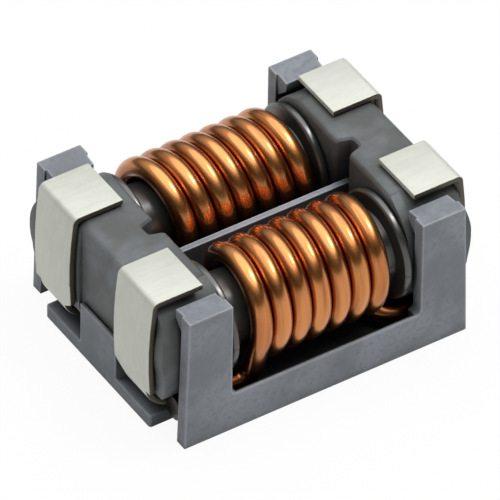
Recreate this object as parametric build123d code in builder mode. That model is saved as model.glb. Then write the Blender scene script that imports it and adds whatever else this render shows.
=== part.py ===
"""Surface-mount common mode choke.

Two mirrored windings of round enamelled wire sit on split bobbins, round the two legs of a
closed ferrite core. Four bent terminals are bonded to the core's end blocks, and a moulded
cover with two window walls snaps over the core's rounded shoulders.

Millimetres, +Z up. The part lies on its cover with the solder pads upwards. The origin is the
centre of the cover's flat outer face, +X runs along the winding axes and +Y to the rear winding.
"""

import os
from math import acos, asin, atan2, cos, degrees, hypot, pi, sin, sqrt

from build123d import *

# Overall
terminal_span = 9.0  # X, over the outer faces of the terminals at the solder pads
pad_height = 4.25  # Z, from the cover's outer face to the solder pads

# Cover moulding
plate_length = 8.84  # X
plate_width = 4.80  # Y, between the corner notches
plate_thickness = 0.38
cover_width = 7.0  # Y, over the two walls
wall_thickness = 0.36
wall_length = 8.23  # X, at the plate
wall_height = 4.04
wall_end_draft = 0.115  # each wall end leans in by this much at the tip
window_length = 5.49
window_sill = 1.15
sill_slope = 0.28  # Y and Z, how far the sill falls away to the inside
window_corner = 0.14
notch_length = 1.90  # X, from the end of the plate to the inner end of a corner notch
notch_corner = 0.08
hook_reach = 0.38  # Y, inwards from the wall
hook_tip = 0.26  # height of the hook's blunt inner edge
hook_fall = 0.06  # how much lower the hook's top is at its inner edge
hook_inset = 0.06  # X, each end of the hook stands back from its leg
hook_clearance = 0.05
tab_width = 1.62
tab_height = 1.65
tab_clearance = 0.02
rib_thickness = 0.18
rib_height = 2.88
rib_clearance = 0.06

# Ferrite core
core_side_gap = 0.09  # Y, core to cover wall
core_shoulder = 1.25  # radius of the four long edges of each end block
core_underside = 0.72
window_block = 1.65  # X, length of an end block
core_top_edge = 0.28
core_inner_edge = 0.16
core_foot_edge = 0.75  # radius under the end face, where the terminals curl in
end_swell = 0.11  # X, how far each end face bows out at mid-height
end_slot = 1.84  # Y, width of the flat slot down the middle of an end face, where the tab fits
ear_radius = 3.0  # of the round ears that flank the terminals on an end face
ear_rise = 0.075  # X, ears above the bowed end face
ear_lift = 0.25  # Z, middle of the ears above the middle of the core
ear_gap = 0.04  # Y, terminal to ear
leg_radius = 0.72
leg_spacing = 3.75  # Y, between the two leg axes
groove_width = 0.32  # at its bottom
groove_mouth = 0.58
groove_depth = 0.42
groove_corner = 0.10
groove_chamfer = 0.06

# Terminals
strip_thickness = 0.15
strip_width = 1.61
strip_wall_gap = 0.52  # Y, terminal to the cover wall's inner face
pad_length = 1.44
pad_bend = 0.05  # inner radius at the pad
tail_inner_step = 0.36
tail_outer_step = 0.20
tail_shoulder = 0.28
tail_turn = 78  # degrees that the tail curls through
bond_thickness = 0.05
bond_inset = 0.10
bond_foot = 1.75  # Z of the lower end of the bond on the end face

# Bobbins
bobbin_play = 0.04  # radial, bobbin bore on the leg
bobbin_wall = 0.20
flange_radius = 1.45
flange_thickness = 0.22
flange_play = 0.03  # X, flange to end block
flange_edge = 0.05

# Windings
turns = 7  # counted where the wire crosses the top
part_turn = 0.74  # of a turn, from the wire's last crossing to where it leaves the coil
turn_gap = 0.015
end_gap = 0.02  # X, last turn to its flange
winding_play = 0.24  # X, first turn to its flange
wire_clearance = 0.03  # between the wire and the bobbin barrel
wire_sides = 6  # the wire's section is a hexagon of the round wire's area, flat side to flat side
lead_clearance = 0.02
lead_inset = 0.42  # Y, lead axis from the cover wall's inner face
lead_bend = 0.45
lead_root = 0.06  # how far the straight lead starts back inside the coiled wire
lead_end = 0.70  # X, how far the wire's end stands back from the terminal's outer face
weld_wall = 0.06  # radial, weld bead beyond the wire
weld_length = 0.16  # X, from the wire's end

# Adhesive under the core
bead_width = 0.44
bead_length = 2.40
bead_corner = 0.12

# Worked out from the sizes above
wall_inner = cover_width / 2 - wall_thickness
core_half_width = wall_inner - core_side_gap
strip_outer_edge = wall_inner - strip_wall_gap
strip_inner_edge = strip_outer_edge - strip_width
strip_face = terminal_span / 2 - strip_thickness
core_end = strip_face - bond_thickness
core_top = pad_height - strip_thickness - bond_thickness
core_middle = (core_top + core_underside) / 2
block_inner = core_end - window_block
axis_y = leg_spacing / 2
half_height = (core_top - core_underside) / 2
bow_radius = (half_height**2 + end_swell**2) / (2 * end_swell)
bow_centre = (core_end + end_swell - bow_radius, core_middle)
tail_rise = core_underside + core_foot_edge
tail_lean = asin((core_middle - tail_rise) / (bow_radius - core_foot_edge))
tail_centre = (bow_centre[0] + (bow_radius - core_foot_edge) * cos(tail_lean), tail_rise)
shoulder_y = core_half_width - core_shoulder
flange_inner = block_inner - flange_play - flange_thickness
barrel_radius = leg_radius + bobbin_play + bobbin_wall
groove_bottom = block_inner + groove_depth
ear_inner = strip_outer_edge + ear_gap

os.makedirs("parts", exist_ok=True)


def save(part, name):
    """Label a finished piece and write its STEP file."""
    part.label = name
    export_step(part, f"parts/{name}.step")


def tab_room():
    """X and Z section of the room that the core's foot takes behind a tab."""
    with BuildSketch() as room:
        with Locations(tail_centre):
            Circle(core_foot_edge + tab_clearance)
            Rectangle(window_block, window_block, align=(Align.CENTER, Align.MIN))
        with Locations((core_end + tab_clearance, core_middle)):
            Rectangle(
                window_block, 2 * core_middle, align=(Align.MAX, Align.CENTER), mode=Mode.INTERSECT
            )
    return room.sketch


# Cover: plate, two window walls with snap hooks, end tabs and the rib between the windings
with BuildPart() as cover:
    with BuildSketch():
        Rectangle(plate_length, plate_width)
        Rectangle(plate_length - 2 * notch_length, cover_width)
    extrude(amount=plate_thickness)
    fillet(cover.edges().filter_by(Axis.Z).group_by(Axis.X)[0], notch_corner)
    fillet(cover.edges().filter_by(Axis.Z).group_by(Axis.X)[-1], notch_corner)

    with BuildSketch(Plane.XZ.offset(-wall_inner)):
        with BuildLine():
            Polyline(
                (0, 0),
                (wall_length / 2, 0),
                (wall_length / 2 - wall_end_draft, wall_height),
                (window_length / 2, wall_height),
                (window_length / 2, window_sill),
                (0, window_sill),
                close=True,
            )
        make_face()
        mirror(about=Plane.YZ)
        fillet(vertices().group_by(Axis.Y)[1], window_corner)
    extrude(amount=-wall_thickness)

    # the sill falls away under the bulge of the coil
    sill_length = window_length - 2 * window_corner
    with BuildSketch(Plane.YZ.offset(-sill_length / 2)):
        with BuildLine():
            Polyline(
                (wall_inner, window_sill),
                (wall_inner + sill_slope, window_sill),
                (wall_inner, window_sill - sill_slope),
                close=True,
            )
        make_face()
    extrude(amount=sill_length, mode=Mode.SUBTRACT)

    # a hook on the tip of the +X leg, undercut to follow the core's shoulder
    hook_length = wall_length / 2 - wall_end_draft - window_length / 2 - 2 * hook_inset
    with BuildSketch(Plane.YZ.offset(window_length / 2 + hook_inset)) as hook_section:
        with BuildLine():
            Polyline(
                (wall_inner, wall_height),
                (wall_inner - hook_reach, wall_height - hook_fall),
                (wall_inner - hook_reach, wall_height - hook_fall - hook_tip),
                (wall_inner, wall_height - hook_fall - hook_tip - hook_reach),
                close=True,
            )
        make_face()
        with Locations((shoulder_y, core_top - core_shoulder)):
            Circle(core_shoulder + hook_clearance, mode=Mode.SUBTRACT)
    hook = extrude(amount=hook_length)
    mirror(hook, about=Plane.YZ)
    mirror(about=Plane.XZ)

    # end tabs, whose backs follow the slot and the foot edge of the core
    with BuildSketch(Plane.XZ.offset(-tab_width / 2)):
        with Locations((plate_length / 2, plate_thickness)):
            Rectangle(
                plate_length / 2 - tail_centre[0],
                tab_height - plate_thickness,
                align=(Align.MAX, Align.MIN),
            )
        add(tab_room(), mode=Mode.SUBTRACT)
    tab = extrude(amount=tab_width)
    mirror(tab, about=Plane.YZ)

    # the rib ends inside the grooves of the core
    with Locations((0, 0, plate_thickness)):
        Box(
            2 * (groove_bottom - rib_clearance),
            rib_thickness,
            rib_height - plate_thickness,
            align=(Align.CENTER, Align.CENTER, Align.MIN),
        )
save(cover.part, "cover")


def core_outline():
    """Half of the core's lengthwise outline, in X and Z: one end block with its bowed end face."""
    with BuildSketch() as outline:
        with BuildLine():
            Line((core_end, core_top), (block_inner, core_top))
            Line((block_inner, core_top), (block_inner, core_underside))
            Line((block_inner, core_underside), (core_end, core_underside))
            ThreePointArc(
                (core_end, core_underside), (core_end + end_swell, core_middle), (core_end, core_top)
            )
        make_face()
        fillet(outline.vertices().sort_by_distance((core_end, core_underside))[0], core_foot_edge)
        fillet(outline.vertices().sort_by_distance((core_end, core_top))[0], core_top_edge)
        fillet(outline.vertices().sort_by_distance((block_inner, core_top))[0], core_inner_edge)
    return outline.sketch


def ear_outline():
    """X and Z section of an ear, as far as the part of the end block that it grows out of."""
    with BuildSketch() as outline:
        with Locations((core_end + end_swell + ear_rise - ear_radius, core_middle + ear_lift)):
            Circle(ear_radius)
        with Locations((core_end - core_foot_edge / 2, core_middle)):
            Rectangle(core_foot_edge, 2 * half_height, align=(Align.MIN, Align.CENTER), mode=Mode.INTERSECT)
    return outline.sketch


# Ferrite core: two end blocks joined by two round legs
with BuildPart() as core:
    with BuildSketch(Plane.YZ.offset(block_inner)):
        with Locations((0, core_middle)):
            RectangleRounded(2 * core_half_width, core_top - core_underside, core_shoulder)
    extrude(amount=window_block + end_swell + ear_rise)
    with BuildSketch(Plane.XZ.offset(-core_half_width)):
        add(core_outline())
        add(ear_outline())
    extrude(amount=2 * core_half_width, mode=Mode.INTERSECT)
    # the ears stand only outside the terminals, and the slot only between them
    with BuildSketch(Plane.XZ.offset(-ear_inner)):
        add(ear_outline())
        add(core_outline(), mode=Mode.SUBTRACT)
    extrude(amount=2 * ear_inner, mode=Mode.SUBTRACT)
    with Locations((core_end, 0, core_middle)):
        Box(
            terminal_span,
            end_slot,
            terminal_span,
            align=(Align.MIN, Align.CENTER, Align.CENTER),
            mode=Mode.SUBTRACT,
        )
    with BuildSketch(Plane.XY.offset(core_underside)) as groove:
        with BuildLine():
            Polyline(
                (block_inner, groove_mouth / 2),
                (groove_bottom, groove_width / 2),
                (groove_bottom, -groove_width / 2),
                (block_inner, -groove_mouth / 2),
                close=True,
            )
        make_face()
        fillet(groove.vertices().group_by(Axis.X)[-1], groove_corner)
    extrude(amount=core_top - core_underside, mode=Mode.SUBTRACT)
    groove_edges = core.edges().filter_by_position(Axis.Y, -groove_mouth / 2, groove_mouth / 2)
    groove_edges = groove_edges.filter_by_position(Axis.X, block_inner, groove_bottom)
    chamfer(groove_edges.group_by(Axis.Z)[-1], groove_chamfer)
    with BuildSketch(Plane.YZ):
        with Locations((axis_y, core_middle), (-axis_y, core_middle)):
            Circle(leg_radius)
    extrude(amount=block_inner)
    mirror(about=Plane.YZ)
save(core.part, "ferrite_core")


# Bobbin: one spool round the rear leg, moulded in two halves that meet on the leg's middle plane
with BuildPart() as bobbin_half:
    with BuildSketch(Plane.XY.offset(core_middle)):
        with BuildLine():
            Polyline(
                (0, axis_y + leg_radius + bobbin_play),
                (flange_inner + flange_thickness, axis_y + leg_radius + bobbin_play),
                (flange_inner + flange_thickness, axis_y + flange_radius),
                (flange_inner, axis_y + flange_radius),
                (flange_inner, axis_y + barrel_radius),
                (0, axis_y + barrel_radius),
                close=True,
            )
        make_face()
        chamfer(vertices().group_by(Axis.Y)[-1], flange_edge)
        mirror(about=Plane.YZ)
    bobbin_axis = Axis((0, axis_y, core_middle), (1, 0, 0))
    revolve(axis=bobbin_axis, revolution_arc=180)


# Winding: the lead at -X rises past the outer side of the coil, the lead at +X leaves under it,
# and both turn along X beside the core's lower shoulder
wire_diameter = (2 * flange_inner - winding_play - end_gap + turn_gap) / (turns + part_turn) - turn_gap
wire_radius = wire_diameter / 2
pitch = wire_diameter + turn_gap
coil_radius = barrel_radius + wire_clearance + wire_radius
shoulder_stand_off = core_shoulder + wire_radius + lead_clearance
lead_y = wall_inner - lead_inset
lead_z = core_underside + core_shoulder - sqrt(shoulder_stand_off**2 - (lead_y - shoulder_y) ** 2)
lead_distance = hypot(lead_y - axis_y, lead_z - core_middle)
lead_bearing = atan2(lead_z - core_middle, lead_y - axis_y)
tangent_angle = acos(coil_radius / lead_distance)
first_angle = lead_bearing + tangent_angle
last_angle = lead_bearing - tangent_angle + 2 * pi * turns
coil_length = pitch * (last_angle - first_angle) / (2 * pi)
coil_end = flange_inner - end_gap - wire_radius
section_radius = wire_radius * sqrt(2 * pi / (wire_sides * sin(2 * pi / wire_sides)))


def lead_path(x, angle, side):
    """The lead from the coil's tangent point at this angle, down and outwards, then along X."""
    start = Vector(x, axis_y + coil_radius * cos(angle), core_middle + coil_radius * sin(angle))
    corner = Vector(x, lead_y, lead_z)
    root = start - (corner - start).normalized() * lead_root
    end = (side * (terminal_span / 2 - lead_end), lead_y, lead_z)
    return FilletPolyline(root, corner, end, radius=lead_bend)


with BuildPart() as winding:
    with BuildLine() as coil:
        helix = Helix(
            pitch,
            coil_length,
            coil_radius,
            (coil_end - coil_length, axis_y, core_middle),
            (1, 0, 0),
            mode=Mode.PRIVATE,
        )
        add(helix.rotate(bobbin_axis, degrees(first_angle) - 90))
    wire_paths = [coil.edge()]
    for x, angle, side in ((coil_end - coil_length, first_angle, -1), (coil_end, last_angle, 1)):
        with BuildLine():
            wire_paths.append(lead_path(x, angle, side))
    for path in wire_paths:
        with BuildSketch(Plane(origin=path @ 0, z_dir=path % 0, x_dir=(1, 0, 0))):
            RegularPolygon(section_radius, wire_sides, rotation=180 / wire_sides)
        sweep(path=path, is_frenet=path is wire_paths[0])


# Terminal: a flat strip bent over the end face, from the solder pad to the tail under the core
def strip_outline(thickness):
    """The X and Z section of a strip that follows the terminal's inner face, this thick."""
    pad_z = pad_height - strip_thickness
    outer_bend = pad_bend + thickness
    tail_inner = core_foot_edge + bond_thickness
    face_radius = bow_radius + bond_thickness
    pad_lean = asin((pad_z - pad_bend - core_middle) / (face_radius - pad_bend))
    bend_centre = (bow_centre[0] + (face_radius - pad_bend) * cos(pad_lean), pad_z - pad_bend)
    lean, foot = degrees(pad_lean), degrees(tail_lean)
    with BuildSketch() as outline:
        with BuildLine():
            inner_corner = CenterArc(bend_centre, pad_bend, lean, 90 - lean)
            outer_corner = CenterArc(bend_centre, outer_bend, lean, 90 - lean)
            CenterArc(bow_centre, face_radius, -foot, foot + lean)
            CenterArc(bow_centre, face_radius + thickness, -foot, foot + lean)
            inner_tail = CenterArc(tail_centre, tail_inner, -foot, foot - tail_turn)
            outer_tail = CenterArc(tail_centre, tail_inner + thickness, -foot, foot - tail_turn)
            pad_end = terminal_span / 2 - pad_length
            Line(inner_corner @ 1, (pad_end, pad_z))
            Line((pad_end, pad_z), (pad_end, pad_z + thickness))
            Line((pad_end, pad_z + thickness), outer_corner @ 1)
            Line(outer_tail @ 1, inner_tail @ 1)
        make_face()
    return outline.sketch


with BuildPart() as terminal:
    with BuildSketch(Plane.XZ.offset(-strip_inner_edge)):
        add(strip_outline(strip_thickness))
    extrude(amount=-strip_width)
    # the tail is narrower than the strip, with a sloping shoulder on its inner side
    with BuildSketch(Plane.YZ.offset(terminal_span / 2 + end_swell)):
        with BuildLine():
            Polyline(
                (strip_inner_edge, tail_centre[1]),
                (strip_inner_edge + tail_inner_step, tail_centre[1] - tail_shoulder),
                (strip_inner_edge + tail_inner_step, 0),
                (strip_inner_edge, 0),
                close=True,
            )
        make_face()
        with Locations((strip_outer_edge, tail_centre[1] - strip_thickness)):
            Rectangle(tail_outer_step, tail_centre[1], align=(Align.MAX, Align.MAX))
    extrude(amount=-terminal_span / 2, mode=Mode.SUBTRACT)

# Epoxy bond between a terminal and its end block
with BuildPart() as bond:
    with BuildSketch(Plane.XZ.offset(-strip_inner_edge - bond_inset)) as bond_section:
        with Locations((strip_face + end_swell, pad_height - strip_thickness)):
            Rectangle(
                pad_length - strip_thickness - bond_inset + end_swell,
                pad_height - strip_thickness - bond_foot,
                align=(Align.MAX, Align.MAX),
            )
        with Locations(bow_centre):
            Circle(bow_radius + bond_thickness, mode=Mode.INTERSECT)
        fillet(bond_section.vertices().sort_by_distance((terminal_span, terminal_span))[0], pad_bend)
        add(core_outline(), mode=Mode.SUBTRACT)
    extrude(amount=-(shoulder_y - strip_inner_edge - bond_inset))

# Weld bead: it caps the end of a lead and meets the outer edge of a tail
with BuildPart() as weld:
    with BuildSketch(Plane.YZ.offset(terminal_span / 2 - lead_end)):
        with Locations((lead_y, lead_z)):
            Circle(wire_radius + weld_wall)
    extrude(amount=weld_length)
    add(terminal.part, mode=Mode.SUBTRACT)
    add(core.part, mode=Mode.SUBTRACT)

# Bead of adhesive between the cover's plate and an end block, clear of the rib and the tab
with BuildPart() as bead:
    with BuildSketch(Plane.XY.offset(plate_thickness)):
        with Locations(((groove_bottom - rib_clearance + tail_centre[0]) / 2, 0)):
            Rectangle(bead_width, bead_length)
        chamfer(vertices(), bead_corner)
    extrude(amount=core_underside - plate_thickness)

# Write the pieces that are repeated, mirrored about the middle planes
with BuildPart() as lower_half:
    mirror(bobbin_half.part, about=Plane.XY.offset(core_middle))
for side, sign in (("rear", 1), ("front", -1)):
    for piece, name in ((winding, "winding"), (bobbin_half, "bobbin_upper"), (lower_half, "bobbin_lower")):
        save(piece.part if sign > 0 else mirror(piece.part, about=Plane.XZ), f"{name}_{side}")
    for end, x_sign in (("right", 1), ("left", -1)):
        for piece, name in ((terminal, "terminal"), (bond, "terminal_bond"), (weld, "weld_bead")):
            solid = piece.part if x_sign > 0 else mirror(piece.part, about=Plane.YZ)
            save(solid if sign > 0 else mirror(solid, about=Plane.XZ), f"{name}_{side}_{end}")
save(bead.part, "cover_bond_right")
save(mirror(bead.part, about=Plane.YZ), "cover_bond_left")
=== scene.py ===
"""Surface-mount common mode choke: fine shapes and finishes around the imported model.

The windings are swept round wire, made by one Geometry Nodes tree. The moulded, sintered and
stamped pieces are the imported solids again, with the small radii that moulding, tumbling and
stamping leave on their edges. Sizes are in metres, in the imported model's frame: +X along the
winding axes, +Y towards the rear winding, +Z from the cover's face up to the solder pads.
"""

from math import acos, atan2, cos, hypot, pi, radians, sin

import bmesh
import bpy
from bpy.props import FloatProperty, FloatVectorProperty, IntProperty, PointerProperty
from mathutils import Matrix, Vector


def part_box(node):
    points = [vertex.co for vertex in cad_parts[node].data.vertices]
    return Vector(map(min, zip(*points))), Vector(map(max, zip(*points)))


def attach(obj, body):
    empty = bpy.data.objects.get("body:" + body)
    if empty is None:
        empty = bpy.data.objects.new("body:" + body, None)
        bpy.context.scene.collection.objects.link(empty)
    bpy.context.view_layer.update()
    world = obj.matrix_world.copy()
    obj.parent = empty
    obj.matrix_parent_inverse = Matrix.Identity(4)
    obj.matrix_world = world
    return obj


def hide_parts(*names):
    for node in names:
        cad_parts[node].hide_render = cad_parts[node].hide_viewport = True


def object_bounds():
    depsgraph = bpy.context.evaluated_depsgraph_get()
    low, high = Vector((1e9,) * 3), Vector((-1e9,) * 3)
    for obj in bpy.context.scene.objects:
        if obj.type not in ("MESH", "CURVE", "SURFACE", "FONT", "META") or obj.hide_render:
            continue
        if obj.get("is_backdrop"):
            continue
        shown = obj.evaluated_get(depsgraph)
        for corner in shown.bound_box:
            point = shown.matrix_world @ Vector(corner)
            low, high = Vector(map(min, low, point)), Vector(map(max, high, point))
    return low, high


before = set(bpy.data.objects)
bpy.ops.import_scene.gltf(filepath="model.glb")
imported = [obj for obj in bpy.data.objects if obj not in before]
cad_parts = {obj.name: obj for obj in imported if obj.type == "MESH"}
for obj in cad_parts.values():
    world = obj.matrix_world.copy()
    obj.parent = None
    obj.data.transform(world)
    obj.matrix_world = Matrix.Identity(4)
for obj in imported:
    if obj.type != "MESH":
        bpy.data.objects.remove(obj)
CAD_LOW, CAD_HIGH = (Vector(corner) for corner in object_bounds())

bl_info = {
    "name": "Common mode choke",
    "version": (1, 0, 0),
    "blender": (4, 5, 0),
    "location": "3D View > Sidebar > Choke",
    "description": "Winds, finishes and stages a surface-mount common mode choke",
    "category": "Add Mesh",
}

MM = 0.001
SIDES = ("front", "rear")
ENDS = ("left", "right")

# Which part of the noise the blotches on the core and on the cover are taken from
CORE_SEED = 3.0
COVER_SEED = 6.0

# Streaks along the drawn wire, in mm and round it, and how far rolling stretches a mark on the strip
STREAK_LENGTH = 2.2
STREAKS_ROUND = 7.0
ROLLED_STRETCH = 5.0

# A Mix node's colour sockets, by number, because its other sockets have the same names
MIX_SHARE, MIX_FIRST, MIX_SECOND, MIX_RESULT = 0, 6, 7, 2

# How eased_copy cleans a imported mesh, in mm and degrees
SAME_POINT = 0.0005
SAME_PLANE = 1
ROUNDED_FROM = 38
CREASED_FROM = 32
ROUND_STEPS = 3

# A face of a terminal whose normal is this much along Y is a sheared side
CUT_SIDE = 0.7

# How the wire is put together: steps round a lead's bend, and how near two ends have to be, in mm
BEND_STEPS = 12
SAME_END = 0.002

# Heights on the leaning room's wall, from 0 at the horizon to 1 overhead
WHITE_FOOT_TOP = 0.05
SCREEN_FOOT = 0.12
SCREEN_TOP = 0.45
CEILING_FOOT = 0.75

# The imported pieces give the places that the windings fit
BOBBIN_LOW, BOBBIN_HIGH = (Vector(corner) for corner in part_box("bobbin_upper_rear"))
WINDING_LOW, WINDING_HIGH = (Vector(corner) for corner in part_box("winding_rear"))
AXIS_Y = (BOBBIN_LOW.y + BOBBIN_HIGH.y) / 2
MIDDLE_Z = BOBBIN_LOW.z


def linear(hex_colour):
    """Linear RGBA from an sRGB hex colour such as "#6f7378"."""
    channels = [int(hex_colour[i:i + 2], 16) / 255 for i in (1, 3, 5)]
    return (*[c / 12.92 if c <= 0.04045 else ((c + 0.055) / 1.055) ** 2.4 for c in channels], 1.0)


def scaled_colour(base, gain):
    """A linear colour made lighter or darker by this factor."""
    return tuple(channel * gain for channel in base[:3]) + (1.0,)


def colour(name, description, hex_colour):
    """A colour that the user can change."""
    return FloatVectorProperty(
        name=name,
        description=description,
        subtype="COLOR",
        size=4,
        min=0.0,
        max=1.0,
        default=linear(hex_colour),
    )


def length(name, description, millimetres):
    """A length that the user can change."""
    return FloatProperty(name=name, description=description, unit="LENGTH", default=millimetres * MM)


class WindingSizes(bpy.types.PropertyGroup):
    """Sizes of the two coils and their leads."""

    wire_diameter: length("Wire diameter", "Over the enamel", 0.56)
    turn_gap: length("Turn gap", "Between neighbouring turns", 0.007)
    coil_radius: length("Coil radius", "From the bobbin's axis to the middle of the wire", 1.2768)
    end_gap: length("End gap", "From the last turn to its flange", 0.02)
    flange_thickness: length("Flange thickness", "Of the bobbin's end flanges", 0.22)
    lead_inset: length("Lead inset", "Lead axis from the outer face of the cover's wall", 0.78)
    lead_height: length("Lead height", "Lead axis above the cover's outer face", 0.7142)
    lead_bend: length("Lead bend", "Radius where a lead turns along the part", 0.45)
    turns: IntProperty(name="Turns", description="Counted where the wire crosses the top", default=7)
    sides: IntProperty(name="Wire sides", description="Facets round the wire", default=24)
    steps: IntProperty(name="Steps", description="Facets along one turn", default=72)


class EdgeSizes(bpy.types.PropertyGroup):
    """Small radii that the real processes leave on edges."""

    cover: length("Cover", "Moulding radius of the cover's edges", 0.045)
    core: length("Core", "Tumbled radius of the ferrite's edges", 0.06)
    terminal: length("Terminal", "Radius of the stamped strip's plated edges", 0.022)
    bobbin: length("Bobbin", "Moulding radius of the bobbins' edges", 0.02)
    weld: length("Weld bead", "Rounding of the melted bead", 0.05)


class ChokeColours(bpy.types.PropertyGroup):
    """Finishes of the real materials, and the painted shade and painted highlights laid over them."""

    cover: colour("Cover", "Mineral-filled moulding compound", "#707479")
    cover_marks: colour("Cover flow marks", "Where filler lies at the surface", "#82878e")
    # a painted highlight along the cover's sharp corners
    cover_corner_highlight: colour("Cover edges", "Where handling has rubbed the corners pale", "#a3a7ac")
    # painted shade for the cover's recesses, darker where neighbours shelter the moulding; not a colour
    # the moulding has
    cover_painted_shade: colour("Cover inside", "Where nothing has rubbed the moulding", "#34373a")
    ferrite: colour("Ferrite", "Sintered ferrite, as fired", "#4e504f")
    ferrite_dust: colour("Ferrite, rubbed", "Where tumbling has paled the surface", "#64686b")
    # painted shade for the core's recesses; not a colour the ferrite has
    ferrite_painted_shade: colour("Ferrite, sheltered", "Where nothing has rubbed it", "#2b2c2d")
    enamel: colour("Enamelled copper", "Copper through amber enamel", "#cb854a")
    enamel_deep: colour("Enamelled copper, deep", "Where the enamel is thick", "#a4602f")
    # painted shade between the turns and under the coil; not a colour of the enamel
    enamel_painted_shade: colour("Enamelled copper, grooves", "Where varnish gathers between turns", "#7c3a1d")
    tin: colour("Tin plate", "Matte tin over bronze", "#bfc1b7")
    tin_worn: colour("Tin plate, dull", "Where the plating has dulled", "#b6b8ad")
    bobbin: colour("Bobbin", "Black moulding compound", "#222320")
    # darkened as painted shade for where the beads sit, under the terminals
    weld: colour("Weld bead", "Tin and copper melted together", "#3d3a34")
    bronze: colour("Cut edge", "Bare, tarnished bronze where the strip was sheared", "#5f584c")
    epoxy: colour("Adhesive", "Cured black epoxy", "#26221f")


class StudioSettings(bpy.types.PropertyGroup):
    """Camera and light."""

    azimuth: FloatProperty(
        name="Azimuth", description="Camera bearing", subtype="ANGLE", default=radians(-33.3)
    )
    elevation: FloatProperty(
        name="Elevation", description="Camera height", subtype="ANGLE", default=radians(42.1)
    )
    roll: FloatProperty(
        name="Roll", description="Camera roll", subtype="ANGLE", default=radians(0.92)
    )
    lens: FloatProperty(name="Lens", description="Focal length", unit="CAMERA", default=800.0)
    view_width: length("View width", "Width of the view at the part", 12.3)
    aim: FloatProperty(
        name="Aim", description="Camera aim, of the part's height", subtype="FACTOR", default=0.45
    )
    near: length("Near limit", "Nearest distance that the camera sees", 10.0)
    key_size: length("Softbox size", "Diameter of the softbox overhead", 660.0)
    key_height: length("Softbox height", "From the floor to the softbox", 400.0)
    key_right: length("Softbox right", "How far the softbox hangs towards +X", 90.0)
    key_back: length("Softbox back", "How far the softbox hangs towards +Y", 105.0)
    key_level: FloatProperty(name="Softbox", description="Radiance, where 1 is white", default=1.8)
    room_lean: FloatProperty(
        name="Room lean", description="How far the room leans back", subtype="ANGLE", default=radians(20)
    )
    glint_bearing: FloatVectorProperty(
        name="Lamp bearing",
        description="Direction of the small lamp, across from the camera, so that the rims catch it",
        subtype="DIRECTION",
        default=(0.407, -0.128, 0.896),
    )
    glint_distance: length("Lamp distance", "From the part to the small lamp", 380.0)
    glint_size: length("Lamp size", "Diameter of the small lamp", 66.0)
    glint_level: FloatProperty(name="Lamp", description="Radiance of the small lamp", default=40.0)
    screen: FloatProperty(name="Screens", description="Radiance of the grey screens", default=0.055)
    ceiling: FloatProperty(name="Ceiling", description="Radiance of the ceiling", default=0.7)
    floor_size: length("Floor size", "Side of the floor", 3000.0)
    floor_drop: length("Floor drop", "From the part's underside to the floor", 0.01)
    floor_glow: FloatProperty(
        name="Floor glow", description="How plain white it reads", subtype="FACTOR", default=0.93
    )
    paper: colour("Paper", "Floor under its glow", "#d9d9d7")


def settings():
    """The user's sizes, edges, colours and studio."""
    scene = bpy.context.scene
    return scene.choke_winding, scene.choke_edges, scene.choke_colours, scene.choke_studio


def add_node(tree, kind, inputs=None, **properties):
    """Adds a node, with properties, input values and links, and returns it."""
    node = tree.nodes.new(kind)
    for key, value in properties.items():
        setattr(node, key, value)
    for key, value in (inputs or {}).items():
        if isinstance(value, bpy.types.NodeSocket):
            tree.links.new(value, node.inputs[key])
        else:
            node.inputs[key].default_value = value
    return node


def new_material(name):
    """An empty node material and its tree."""
    material = bpy.data.materials.new(name)
    material.use_nodes = True
    material.node_tree.nodes.clear()
    return material, material.node_tree


def finish_material(tree, **inputs):
    """A Principled shader with these inputs, wired to the output."""
    sockets = {key.replace("_", " "): value for key, value in inputs.items()}
    shader = add_node(tree, "ShaderNodeBsdfPrincipled", sockets)
    add_node(tree, "ShaderNodeOutputMaterial", {"Surface": shader.outputs["BSDF"]})


def shade_between(tree, value, low, high, first, second):
    """The first colour where value is under low, the second where it is over high, smooth between."""
    share = add_node(
        tree,
        "ShaderNodeMapRange",
        {"Value": value, "From Min": low, "From Max": high},
        interpolation_type="SMOOTHSTEP",
    )
    shade = add_node(
        tree,
        "ShaderNodeMix",
        {MIX_SHARE: share.outputs["Result"], MIX_FIRST: first, MIX_SECOND: second},
        data_type="RGBA",
    )
    return shade.outputs[MIX_RESULT]


def patchy(
    tree, place, first, second, size_mm, low, high, detail, roughness=0.55, distortion=0.0, seed=0.0
):
    """The first colour with soft patches of the second, about this many millimetres across."""
    blotches = add_node(
        tree,
        "ShaderNodeTexNoise",
        {
            "Vector": place,
            "W": seed,
            "Scale": 1 / (size_mm * MM),
            "Detail": detail,
            "Roughness": roughness,
            "Distortion": distortion,
        },
        noise_dimensions="4D",
    )
    return shade_between(tree, blotches.outputs["Fac"], low, high, first, second)


def relief(tree, place, size_mm, depth_mm, detail=2.0, roughness=0.55):
    """A fine bumpy surface with grains about this many millimetres across and this deep."""
    grains = add_node(
        tree,
        "ShaderNodeTexNoise",
        {"Vector": place, "Scale": 1 / (size_mm * MM), "Detail": detail, "Roughness": roughness},
        noise_dimensions="4D",
    )
    raised = add_node(
        tree, "ShaderNodeBump", {"Height": grains.outputs["Fac"], "Distance": depth_mm * MM}
    )
    return raised.outputs["Normal"]


def drifting(tree, place, base, gain, size_mm):
    """The base colour, drifting as far as gain times it over this many millimetres."""
    drift = add_node(
        tree,
        "ShaderNodeTexNoise",
        {"Vector": place, "Scale": 1 / (size_mm * MM), "Detail": 3.0, "Roughness": 0.55},
        noise_dimensions="4D",
    )
    shade = add_node(
        tree,
        "ShaderNodeMix",
        {
            MIX_SHARE: drift.outputs["Fac"],
            MIX_FIRST: base,
            MIX_SECOND: scaled_colour(base, gain),
        },
        data_type="RGBA",
    )
    return shade.outputs[MIX_RESULT]


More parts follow.
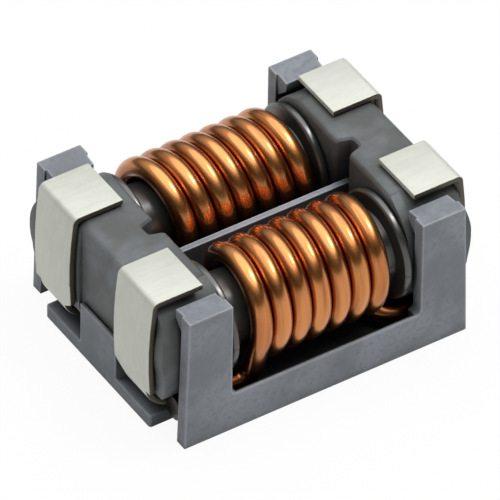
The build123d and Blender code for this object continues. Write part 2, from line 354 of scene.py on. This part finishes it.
def painted_recess_shade(tree, inside, outside, reach_mm, low, high):
    """Painted shade: the outside colour where a surface lies open, the inside one where neighbours
    shelter it, standing in for the shade that falls there.
    """
    shelter = add_node(tree, "ShaderNodeAmbientOcclusion", {"Distance": reach_mm * MM}, samples=8)
    return shade_between(tree, shelter.outputs["AO"], low, high, inside, outside)


def painted_corner_highlight(tree, flat, lightened, reach_mm, high):
    """The flat colour, paling to the other on sharp corners: a painted highlight along the edges."""
    rounded = add_node(tree, "ShaderNodeBevel", {"Radius": reach_mm * MM}, samples=6)
    true = add_node(tree, "ShaderNodeNewGeometry")
    turn = add_node(
        tree,
        "ShaderNodeVectorMath",
        {0: rounded.outputs["Normal"], 1: true.outputs["Normal"]},
        operation="DOT_PRODUCT",
    )
    bend = add_node(tree, "ShaderNodeMath", {0: 1.0, 1: turn.outputs["Value"]}, operation="SUBTRACT")
    return shade_between(tree, bend.outputs["Value"], 0.0, high, flat, lightened)


def moulded_compound(name, base, marks, sheltered, lightened):
    """Mineral-filled liquid crystal polymer, moulded: matte, with a painted highlight on sharp corners
    and painted shade in its recesses.
    """
    material, tree = new_material(name)
    place = add_node(tree, "ShaderNodeTexCoord").outputs["Object"]
    # flow marks, where streams of the melt met
    tint = patchy(
        tree,
        place,
        base,
        marks,
        size_mm=1.6,
        low=0.38,
        high=0.66,
        detail=4.0,
        roughness=0.6,
        distortion=0.3,
        seed=COVER_SEED,
    )
    # the filler's grains are about 0.02 mm, and are drawn at 0.12 mm so that they show
    tint = patchy(
        tree, place, tint, scaled_colour(base, 0.88), size_mm=0.12, low=0.45, high=0.85, detail=2.0
    )
    # painted highlight: paler on the sharp corners
    tint = painted_corner_highlight(tree, tint, lightened, reach_mm=0.10, high=0.12)
    # painted shade: the cover darkens where its neighbours shelter it
    tint = painted_recess_shade(tree, sheltered, tint, reach_mm=2.0, low=0.30, high=0.52)
    finish_material(
        tree,
        Base_Color=tint,
        Roughness=0.62,
        Specular_IOR_Level=0.25,
        Normal=relief(tree, place, size_mm=0.12, depth_mm=0.008),
    )
    return material


def sintered_ferrite(name, base, lightened, sheltered):
    """Nickel-zinc ferrite, pressed and sintered: dull grey-black, with a fine grit, pale rubs and
    painted shade in its recesses.
    """
    material, tree = new_material(name)
    place = add_node(tree, "ShaderNodeTexCoord").outputs["Object"]
    tint = patchy(
        tree,
        place,
        base,
        lightened,
        size_mm=1.8,
        low=0.44,
        high=0.68,
        detail=4.0,
        roughness=0.6,
        distortion=0.4,
        seed=CORE_SEED,
    )
    # painted shade: the ferrite darkens where its neighbours shelter it
    tint = painted_recess_shade(tree, sheltered, tint, reach_mm=2.0, low=0.2, high=0.7)
    # sintered grains are about 0.01 mm, and are drawn at 0.07 mm so that they show
    finish_material(
        tree,
        Base_Color=tint,
        Roughness=0.5,
        Specular_IOR_Level=0.35,
        Normal=relief(tree, place, size_mm=0.07, depth_mm=0.005, roughness=0.6),
    )
    return material


def enamelled_copper(name, thin, thick, groove_shade):
    """Copper wire, drawn and coated with amber polyurethane enamel: a clear gloss over warm metal, with
    painted shade between the turns.
    """
    material, tree = new_material(name)
    along = add_node(tree, "ShaderNodeAttribute", attribute_name="along").outputs["Fac"]
    around = add_node(tree, "ShaderNodeAttribute", attribute_name="around").outputs["Fac"]
    # the drawing die leaves streaks along the wire
    length_wise = add_node(
        tree, "ShaderNodeMath", {0: along, 1: 1 / (STREAK_LENGTH * MM)}, operation="MULTIPLY"
    )
    cross_wise = add_node(
        tree, "ShaderNodeMath", {0: around, 1: STREAKS_ROUND}, operation="MULTIPLY"
    )
    stretched = add_node(
        tree, "ShaderNodeCombineXYZ", {"X": length_wise.outputs[0], "Y": cross_wise.outputs[0]}
    )
    drawn = add_node(
        tree, "ShaderNodeTexNoise", {"Vector": stretched.outputs[0], "Scale": 1.0, "Detail": 3.0}
    )
    tint = shade_between(tree, drawn.outputs["Fac"], 0.35, 0.7, thin, thick)
    # painted shade: darker where neighbouring turns shelter the wire
    tint = painted_recess_shade(tree, groove_shade, tint, reach_mm=1.3, low=0.06, high=0.62)
    finish_material(
        tree,
        Base_Color=tint,
        Metallic=1.0,
        Roughness=0.27,
        Coat_Weight=0.45,
        Coat_Roughness=0.12,
    )
    return material


def matte_tin(name, base, dull):
    """Matte tin plated over bronze strip, then bent: soft metallic white with faint rolling lines."""
    material, tree = new_material(name)
    place = add_node(tree, "ShaderNodeTexCoord").outputs["Object"]
    # the rolling lines run along the strip, so the pattern is squeezed across it
    rolled = add_node(
        tree, "ShaderNodeMapping", {"Vector": place, "Scale": (1.0, ROLLED_STRETCH, 1.0)}
    )
    tint = patchy(
        tree,
        rolled.outputs["Vector"],
        base,
        dull,
        size_mm=0.8,
        low=0.30,
        high=0.80,
        detail=4.0,
        roughness=0.6,
    )
    # the plating's grains are a few thousandths of a millimetre, and are drawn at 0.05 mm
    finish_material(
        tree,
        Base_Color=tint,
        Metallic=0.22,
        Roughness=0.4,
        Normal=relief(tree, place, size_mm=0.05, depth_mm=0.006),
    )
    return material


def black_compound(name, base):
    """Black glass-filled moulding compound with a polished mould finish: even, with a soft gloss."""
    material, tree = new_material(name)
    place = add_node(tree, "ShaderNodeTexCoord").outputs["Object"]
    finish_material(
        tree,
        Base_Color=drifting(tree, place, base, 1.8, size_mm=0.5),
        Roughness=0.3,
        Specular_IOR_Level=1.0,
    )
    return material


def bare_bronze(name, base):
    """Bronze bared by the shear that cut the plated strip: drawn down the edge, and tarnished."""
    material, tree = new_material(name)
    place = add_node(tree, "ShaderNodeTexCoord").outputs["Object"]
    finish_material(
        tree,
        Base_Color=drifting(tree, place, base, 0.6, size_mm=0.06),
        Metallic=0.7,
        Roughness=0.5,
        Normal=relief(tree, place, size_mm=0.06, depth_mm=0.006, detail=3.0),
    )
    return material


def fused_metal(name, base):
    """Tin and copper melted together by the weld: dull grey with a tight skin, darkened further as
    painted shade for the bead's place under the terminal.
    """
    material, tree = new_material(name)
    place = add_node(tree, "ShaderNodeTexCoord").outputs["Object"]
    finish_material(
        tree,
        Base_Color=drifting(tree, place, base, 0.55, size_mm=0.15),
        Metallic=0.8,
        Roughness=0.38,
        Normal=relief(tree, place, size_mm=0.15, depth_mm=0.01, detail=3.0),
    )
    return material


def cured_epoxy(name, base):
    """Black one-part epoxy, cured: smooth, with the low gloss of a set liquid."""
    material, tree = new_material(name)
    place = add_node(tree, "ShaderNodeTexCoord").outputs["Object"]
    finish_material(
        tree, Base_Color=drifting(tree, place, base, 1.5, size_mm=0.3), Roughness=0.32
    )
    return material


def plain_mesh(piece):
    """Replaces a piece's modifiers by their result."""
    evaluated = piece.evaluated_get(bpy.context.evaluated_depsgraph_get())
    made = bpy.data.meshes.new_from_object(evaluated)
    piece.modifiers.clear()
    piece.data = made
    piece.data.name = piece.name


def seat(piece, materials, slot, *nodes):
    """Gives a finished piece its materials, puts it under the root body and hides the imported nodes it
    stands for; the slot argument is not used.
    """
    piece.data.materials.clear()
    for material in materials:
        piece.data.materials.append(material)
    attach(piece, "root")
    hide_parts(*nodes)


def eased_copy(node, name, radius):
    """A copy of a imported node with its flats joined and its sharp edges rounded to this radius."""
    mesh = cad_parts[node].data.copy()
    mesh.name = name
    # the work is in millimetres, because Bevel's own tolerance is too coarse for it in metres
    mesh.transform(Matrix.Scale(1 / MM, 4))
    shape = bmesh.new()
    shape.from_mesh(mesh)
    bmesh.ops.remove_doubles(shape, verts=shape.verts, dist=SAME_POINT)
    bmesh.ops.dissolve_limit(
        shape,
        angle_limit=radians(SAME_PLANE),
        verts=shape.verts,
        edges=shape.edges,
        delimit={"SEAM"},
    )
    shape.to_mesh(mesh)
    shape.free()
    piece = bpy.data.objects.new(name, mesh)
    bpy.context.scene.collection.objects.link(piece)
    edge = piece.modifiers.new("edge", "BEVEL")
    edge.width = radius / MM
    edge.segments = ROUND_STEPS
    edge.limit_method = "ANGLE"
    edge.angle_limit = radians(ROUNDED_FROM)
    plain_mesh(piece)
    piece.data.shade_smooth()
    piece.data.set_sharp_from_angle(angle=radians(CREASED_FROM))
    piece.data.transform(Matrix.Scale(MM, 4))
    return piece


def bare_cut_edges(strip):
    """Puts bare metal on the sides of a plated strip, where it was sheared."""
    for face in strip.data.polygons:
        if abs(face.normal.y) > CUT_SIDE:
            face.material_index = 1


def winding_tree():
    """Geometry Nodes: a helix and the two leads in the object's mesh, swept as round wire."""
    tree = bpy.data.node_groups.new("winding", "GeometryNodeTree")
    for name, kind in (
        ("Leads", "NodeSocketGeometry"),
        ("Turns", "NodeSocketFloat"),
        ("Spacing", "NodeSocketFloat"),
        ("Coil radius", "NodeSocketFloat"),
        ("Wire radius", "NodeSocketFloat"),
        ("Start", "NodeSocketVector"),
        ("Attitude", "NodeSocketVector"),
        ("Lead bend", "NodeSocketFloat"),
        ("Steps", "NodeSocketInt"),
        ("Sides", "NodeSocketInt"),
        ("Enamel", "NodeSocketMaterial"),
    ):
        tree.interface.new_socket(name, in_out="INPUT", socket_type=kind)
    tree.interface.new_socket("Wire", in_out="OUTPUT", socket_type="NodeSocketGeometry")
    given = add_node(tree, "NodeGroupInput").outputs
    height = add_node(
        tree, "ShaderNodeMath", {0: given["Turns"], 1: given["Spacing"]}, operation="MULTIPLY"
    )
    helix = add_node(
        tree,
        "GeometryNodeCurveSpiral",
        {
            "Resolution": given["Steps"],
            "Rotations": given["Turns"],
            "Start Radius": given["Coil radius"],
            "End Radius": given["Coil radius"],
            "Height": height.outputs[0],
            "Reverse": True,
        },
    )
    coil = add_node(
        tree,
        "GeometryNodeTransform",
        {
            "Geometry": helix.outputs["Curve"],
            "Translation": given["Start"],
            "Rotation": given["Attitude"],
        },
    )
    straight = add_node(tree, "GeometryNodeMeshToCurve", {"Mesh": given["Leads"]})
    leads = add_node(
        tree,
        "GeometryNodeFilletCurve",
        {
            "Curve": straight.outputs["Curve"],
            "Radius": given["Lead bend"],
            "Count": BEND_STEPS,
            "Limit Radius": True,
        },
        mode="POLY",
    )
    # the leads and the helix are joined at their shared ends into one run of wire
    chains = add_node(tree, "GeometryNodeJoinGeometry")
    for curve in (leads.outputs["Curve"], coil.outputs["Geometry"]):
        chain = add_node(tree, "GeometryNodeCurveToMesh", {"Curve": curve})
        tree.links.new(chain.outputs["Mesh"], chains.inputs[0])
    joined = add_node(
        tree,
        "GeometryNodeMergeByDistance",
        {"Geometry": chains.outputs[0], "Distance": SAME_END * MM},
    )
    path = add_node(tree, "GeometryNodeMeshToCurve", {"Mesh": joined.outputs["Geometry"]})
    run = add_node(
        tree,
        "GeometryNodeStoreNamedAttribute",
        {
            "Geometry": path.outputs["Curve"],
            "Name": "along",
            "Value": add_node(tree, "GeometryNodeSplineParameter").outputs["Length"],
        },
    )
    section = add_node(
        tree,
        "GeometryNodeCurvePrimitiveCircle",
        {"Resolution": given["Sides"], "Radius": given["Wire radius"]},
    )
    lap = add_node(
        tree,
        "GeometryNodeStoreNamedAttribute",
        {
            "Geometry": section.outputs["Curve"],
            "Name": "around",
            "Value": add_node(tree, "GeometryNodeSplineParameter").outputs["Factor"],
        },
    )
    wire = add_node(
        tree,
        "GeometryNodeCurveToMesh",
        {
            "Curve": run.outputs["Geometry"],
            "Profile Curve": lap.outputs["Geometry"],
            "Fill Caps": True,
        },
    )
    smooth = add_node(tree, "GeometryNodeSetShadeSmooth", {"Geometry": wire.outputs["Mesh"]})
    real = add_node(tree, "GeometryNodeRealizeInstances", {"Geometry": smooth.outputs["Geometry"]})
    enamelled = add_node(
        tree,
        "GeometryNodeSetMaterial",
        {"Geometry": real.outputs["Geometry"], "Material": given["Enamel"]},
    )
    add_node(tree, "NodeGroupOutput", {"Wire": enamelled.outputs["Geometry"]})
    return tree


def set_tree_inputs(modifier, values):
    """Sets a Geometry Nodes modifier's inputs, which the user knows by name."""
    for item in modifier.node_group.interface.items_tree:
        if item.item_type == "SOCKET" and item.in_out == "INPUT" and item.name in values:
            modifier[item.identifier] = values[item.name]


def winding_plan(sizes):
    """The rear coil's first angle, turns, spacing and start, and the corner points of its leads."""
    wire_radius = sizes.wire_diameter / 2
    spacing = sizes.wire_diameter + sizes.turn_gap
    lead_y = CAD_HIGH.y - sizes.lead_inset
    lead_z = CAD_LOW.z + sizes.lead_height
    reach = hypot(lead_y - AXIS_Y, lead_z - MIDDLE_Z)
    bearing = atan2(lead_z - MIDDLE_Z, lead_y - AXIS_Y)
    tangent = acos(sizes.coil_radius / reach)
    first = bearing + tangent
    last = bearing - tangent + 2 * pi * sizes.turns
    turned = (last - first) / (2 * pi)
    coil_end = BOBBIN_HIGH.x - sizes.flange_thickness - sizes.end_gap - wire_radius
    coil_start = coil_end - turned * spacing
    leads = []
    for x, angle, end in ((coil_start, first, WINDING_LOW.x), (coil_end, last, WINDING_HIGH.x)):
        off = (x, AXIS_Y + sizes.coil_radius * cos(angle), MIDDLE_Z + sizes.coil_radius * sin(angle))
        leads.append([off, (x, lead_y, lead_z), (end, lead_y, lead_z)])
    return first, turned, spacing, (coil_start, AXIS_Y, MIDDLE_Z), leads


class ChokeOperator:
    """What the choke's operators share."""

    bl_options = {"REGISTER", "UNDO"}


class OBJECT_OT_choke_cover(ChokeOperator, bpy.types.Operator):
    """Mould the cover that clips over the core"""

    bl_idname = "object.choke_cover"
    bl_label = "Moulded cover"

    def execute(self, context):
        _, edges, colours, _ = settings()
        compound = moulded_compound(
            "moulded_lcp",
            colours.cover,
            colours.cover_marks,
            colours.cover_painted_shade,
            colours.cover_corner_highlight,
        )
        cover = eased_copy("cover", "moulded_cover", edges.cover)
        seat(cover, [compound], "moulded_cover", "cover")
        return {"FINISHED"}


class OBJECT_OT_choke_core(ChokeOperator, bpy.types.Operator):
    """Press and fire the ferrite core"""

    bl_idname = "object.choke_core"
    bl_label = "Ferrite core"

    def execute(self, context):
        _, edges, colours, _ = settings()
        ferrite = sintered_ferrite(
            "sintered_ferrite", colours.ferrite, colours.ferrite_dust, colours.ferrite_painted_shade
        )
        core = eased_copy("ferrite_core", "sintered_core", edges.core)
        seat(core, [ferrite], "ferrite", "ferrite_core")
        return {"FINISHED"}


class OBJECT_OT_choke_bobbins(ChokeOperator, bpy.types.Operator):
    """Mould the four bobbin halves"""

    bl_idname = "object.choke_bobbins"
    bl_label = "Bobbins"

    def execute(self, context):
        _, edges, colours, _ = settings()
        compound = black_compound("black_moulding_compound", colours.bobbin)
        for half in ("upper", "lower"):
            for side in SIDES:
                node = f"bobbin_{half}_{side}"
                moulding = eased_copy(node, f"moulded_{node}", edges.bobbin)
                seat(moulding, [compound], "bobbin", node)
        return {"FINISHED"}


class OBJECT_OT_choke_windings(ChokeOperator, bpy.types.Operator):
    """Wind both coils and lead their ends to the terminals"""

    bl_idname = "object.choke_windings"
    bl_label = "Windings"

    def execute(self, context):
        sizes, _, colours, _ = settings()
        enamel = enamelled_copper(
            "enamelled_copper", colours.enamel, colours.enamel_deep, colours.enamel_painted_shade
        )
        first, turned, spacing, start, leads = winding_plan(sizes)
        tree = winding_tree()
        for side in SIDES:
            mesh = bpy.data.meshes.new(f"wound_wire_{side}")
            points = [point for lead in leads for point in lead]
            mesh.from_pydata(points, [(0, 1), (1, 2), (3, 4), (4, 5)], [])
            piece = bpy.data.objects.new(f"wound_wire_{side}", mesh)
            context.scene.collection.objects.link(piece)
            modifier = piece.modifiers.new("winding", "NODES")
            modifier.node_group = tree
            set_tree_inputs(
                modifier,
                {
                    "Turns": turned,
                    "Spacing": spacing,
                    "Coil radius": sizes.coil_radius,
                    "Wire radius": sizes.wire_diameter / 2,
                    "Start": start,
                    "Attitude": (pi / 2, -first, pi / 2),
                    "Lead bend": sizes.lead_bend,
                    "Steps": sizes.steps,
                    "Sides": sizes.sides,
                    "Enamel": enamel,
                },
            )
            plain_mesh(piece)
            if side == "front":
                piece.data.transform(Matrix.Scale(-1, 4, (0, 1, 0)))
                piece.data.flip_normals()
            seat(piece, [enamel], "enamelled_copper", f"winding_{side}")
        return {"FINISHED"}


class OBJECT_OT_choke_terminals(ChokeOperator, bpy.types.Operator):
    """Finish the four bent terminals, their weld beads and the epoxy that bonds them to the core"""

    bl_idname = "object.choke_terminals"
    bl_label = "Terminals"

    def execute(self, context):
        _, edges, colours, _ = settings()
        tin = matte_tin("matte_tin_plate", colours.tin, colours.tin_worn)
        bronze = bare_bronze("sheared_bronze", colours.bronze)
        fused = fused_metal("fused_tin_and_copper", colours.weld)
        epoxy = cured_epoxy("cured_epoxy", colours.epoxy)
        for side in SIDES:
            for end in ENDS:
                corner = f"{side}_{end}"
                strip = eased_copy(f"terminal_{corner}", f"bent_terminal_{corner}", edges.terminal)
                seat(strip, [tin, bronze], "tinned_terminal", f"terminal_{corner}")
                bare_cut_edges(strip)
                bead = eased_copy(f"weld_bead_{corner}", f"melted_bead_{corner}", edges.weld)
                seat(bead, [fused], "weld_metal", f"weld_bead_{corner}")
                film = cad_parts[f"terminal_bond_{corner}"].data
                film.materials.clear()
                film.materials.append(epoxy)
        for end in ENDS:
            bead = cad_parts[f"cover_bond_{end}"].data
            bead.materials.clear()
            bead.materials.append(epoxy)
        return {"FINISHED"}


class SCENE_OT_choke_stage(ChokeOperator, bpy.types.Operator):
    """Set out the floor, the light and the camera"""

    bl_idname = "scene.choke_stage"
    bl_label = "Studio"

    def execute(self, context):
        studio = context.scene.choke_studio
        lay_floor(studio)
        hang_lights(studio)
        place_camera(studio)
        context.scene.view_settings.view_transform = "Standard"
        return {"FINISHED"}


def seen_ray(tree):
    """1 for the rays that see the background directly or in gloss or glass, 0 for the rest."""
    path = add_node(tree, "ShaderNodeLightPath").outputs
    seen = add_node(
        tree,
        "ShaderNodeMath",
        {0: path["Is Camera Ray"], 1: path["Is Glossy Ray"]},
        operation="MAXIMUM",
    )
    both = add_node(
        tree,
        "ShaderNodeMath",
        {0: seen.outputs[0], 1: path["Is Transmission Ray"]},
        operation="MAXIMUM",
    )
    return both.outputs[0]


def lay_floor(studio):
    """A plain white floor that keeps a soft shadow of the part."""
    half = studio.floor_size / 2
    z = CAD_LOW.z - studio.floor_drop
    corners = [(-half, -half, z), (half, -half, z), (half, half, z), (-half, half, z)]
    mesh = bpy.data.meshes.new("floor")
    mesh.from_pydata(corners, [], [(0, 1, 2, 3)])
    floor = bpy.data.objects.new("floor", mesh)
    bpy.context.scene.collection.objects.link(floor)
    material, tree = new_material("white_paper_sweep")
    paper = add_node(tree, "ShaderNodeBsdfDiffuse", {"Color": studio.paper})
    glow = add_node(tree, "ShaderNodeEmission", {"Color": (1, 1, 1, 1), "Strength": 1.0})
    share = add_node(
        tree, "ShaderNodeMath", {0: seen_ray(tree), 1: studio.floor_glow}, operation="MULTIPLY"
    )
    surface = add_node(
        tree,
        "ShaderNodeMixShader",
        {0: share.outputs[0], 1: paper.outputs[0], 2: glow.outputs[0]},
    )
    add_node(tree, "ShaderNodeOutputMaterial", {"Surface": surface.outputs[0]})
    mesh.materials.append(material)
    floor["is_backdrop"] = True


def hang_disk(name, diameter, radiance, place):
    """A round area lamp of this radiance, facing down, which leaves no disk in the camera's view."""
    light = bpy.data.lights.new(name, "AREA")
    light.shape = "DISK"
    light.size = diameter
    # a flat lamp sends out pi times its radiance from each unit of its area
    light.energy = radiance * pi * pi * (diameter / 2) ** 2
    lamp = bpy.data.objects.new(name, light)
    lamp.visible_camera = False
    lamp.location = place
    bpy.context.scene.collection.objects.link(lamp)
    return lamp


def hang_lights(studio):
    """A wide softbox overhead, a small lamp for the glints, and the room round them."""
    hang_disk(
        "softbox",
        studio.key_size,
        studio.key_level,
        (studio.key_right, studio.key_back, studio.key_height),
    )
    bearing = Vector(studio.glint_bearing)
    lamp = hang_disk(
        "spot_lamp", studio.glint_size, studio.glint_level, bearing * studio.glint_distance
    )
    lamp.rotation_euler = bearing.to_track_quat("Z", "Y").to_euler()
    world = bpy.data.worlds.new("studio")
    world.use_nodes = True
    tree = world.node_tree
    tree.nodes.clear()
    direction = add_node(tree, "ShaderNodeTexCoord").outputs["Generated"]
    # the room leans back, so that its white foot stands higher in front and its ceiling lies behind
    lean = (0, sin(studio.room_lean), cos(studio.room_lean))
    height = add_node(tree, "ShaderNodeVectorMath", {0: direction, 1: lean}, operation="DOT_PRODUCT")
    ramp = add_node(tree, "ShaderNodeValToRGB", {"Fac": height.outputs["Value"]})
    stops = (
        (0.0, 1.0),
        (WHITE_FOOT_TOP, 1.0),
        (SCREEN_FOOT, studio.screen),
        (SCREEN_TOP, studio.screen),
        (CEILING_FOOT, studio.ceiling),
    )
    while len(ramp.color_ramp.elements) < len(stops):
        ramp.color_ramp.elements.new(1.0)
    for element, (position, level) in zip(ramp.color_ramp.elements, stops):
        element.position = position
        element.color = (level, level, level, 1)
    sky = add_node(tree, "ShaderNodeBackground", {"Color": ramp.outputs["Color"], "Strength": 1.0})
    add_node(tree, "ShaderNodeOutputWorld", {"Surface": sky.outputs[0]})
    bpy.context.scene.world = world


def place_camera(studio):
    """A long lens on the front left corner, a little above the part."""
    back = Vector(
        (
            sin(studio.azimuth) * cos(studio.elevation),
            -cos(studio.azimuth) * cos(studio.elevation),
            sin(studio.elevation),
        )
    )
    right = Vector((0, 0, 1)).cross(back).normalized()
    up = back.cross(right)
    tilted_right = right * cos(studio.roll) + up * sin(studio.roll)
    tilted_up = back.cross(tilted_right)
    lens = bpy.data.cameras.new("camera")
    lens.lens = studio.lens
    lens.clip_start = studio.near
    distance = studio.view_width * studio.lens / lens.sensor_width
    aim = Vector((0, 0, CAD_LOW.z + studio.aim * (CAD_HIGH.z - CAD_LOW.z)))
    camera = bpy.data.objects.new("camera", lens)
    turn = Matrix((tilted_right, tilted_up, back)).transposed().to_4x4()
    camera.matrix_world = Matrix.Translation(aim + back * distance) @ turn
    bpy.context.scene.collection.objects.link(camera)
    bpy.context.scene.camera = camera


class VIEW3D_PT_choke(bpy.types.Panel):
    """The choke's pieces, in the order they are made"""

    bl_label = "Common mode choke"
    bl_idname = "VIEW3D_PT_choke"
    bl_space_type = "VIEW_3D"
    bl_region_type = "UI"
    bl_category = "Choke"

    def draw(self, context):
        for operator in OPERATORS:
            self.layout.operator(operator.bl_idname)


GROUPS = {
    "choke_winding": WindingSizes,
    "choke_edges": EdgeSizes,
    "choke_colours": ChokeColours,
    "choke_studio": StudioSettings,
}
OPERATORS = (
    OBJECT_OT_choke_cover,
    OBJECT_OT_choke_core,
    OBJECT_OT_choke_bobbins,
    OBJECT_OT_choke_windings,
    OBJECT_OT_choke_terminals,
    SCENE_OT_choke_stage,
)


def register():
    """Registers the settings, the operators and the panel."""
    for name, group in GROUPS.items():
        bpy.utils.register_class(group)
        setattr(bpy.types.Scene, name, PointerProperty(type=group))
    for operator in OPERATORS:
        bpy.utils.register_class(operator)
    bpy.utils.register_class(VIEW3D_PT_choke)


def unregister():
    """Takes back what register added."""
    bpy.utils.unregister_class(VIEW3D_PT_choke)
    for operator in reversed(OPERATORS):
        bpy.utils.unregister_class(operator)
    for name, group in GROUPS.items():
        delattr(bpy.types.Scene, name)
        bpy.utils.unregister_class(group)


def main():
    register()
    bpy.ops.object.choke_cover()
    bpy.ops.object.choke_core()
    bpy.ops.object.choke_bobbins()
    bpy.ops.object.choke_windings()
    bpy.ops.object.choke_terminals()
    bpy.ops.scene.choke_stage()


if __name__ == "__main__":
    main()
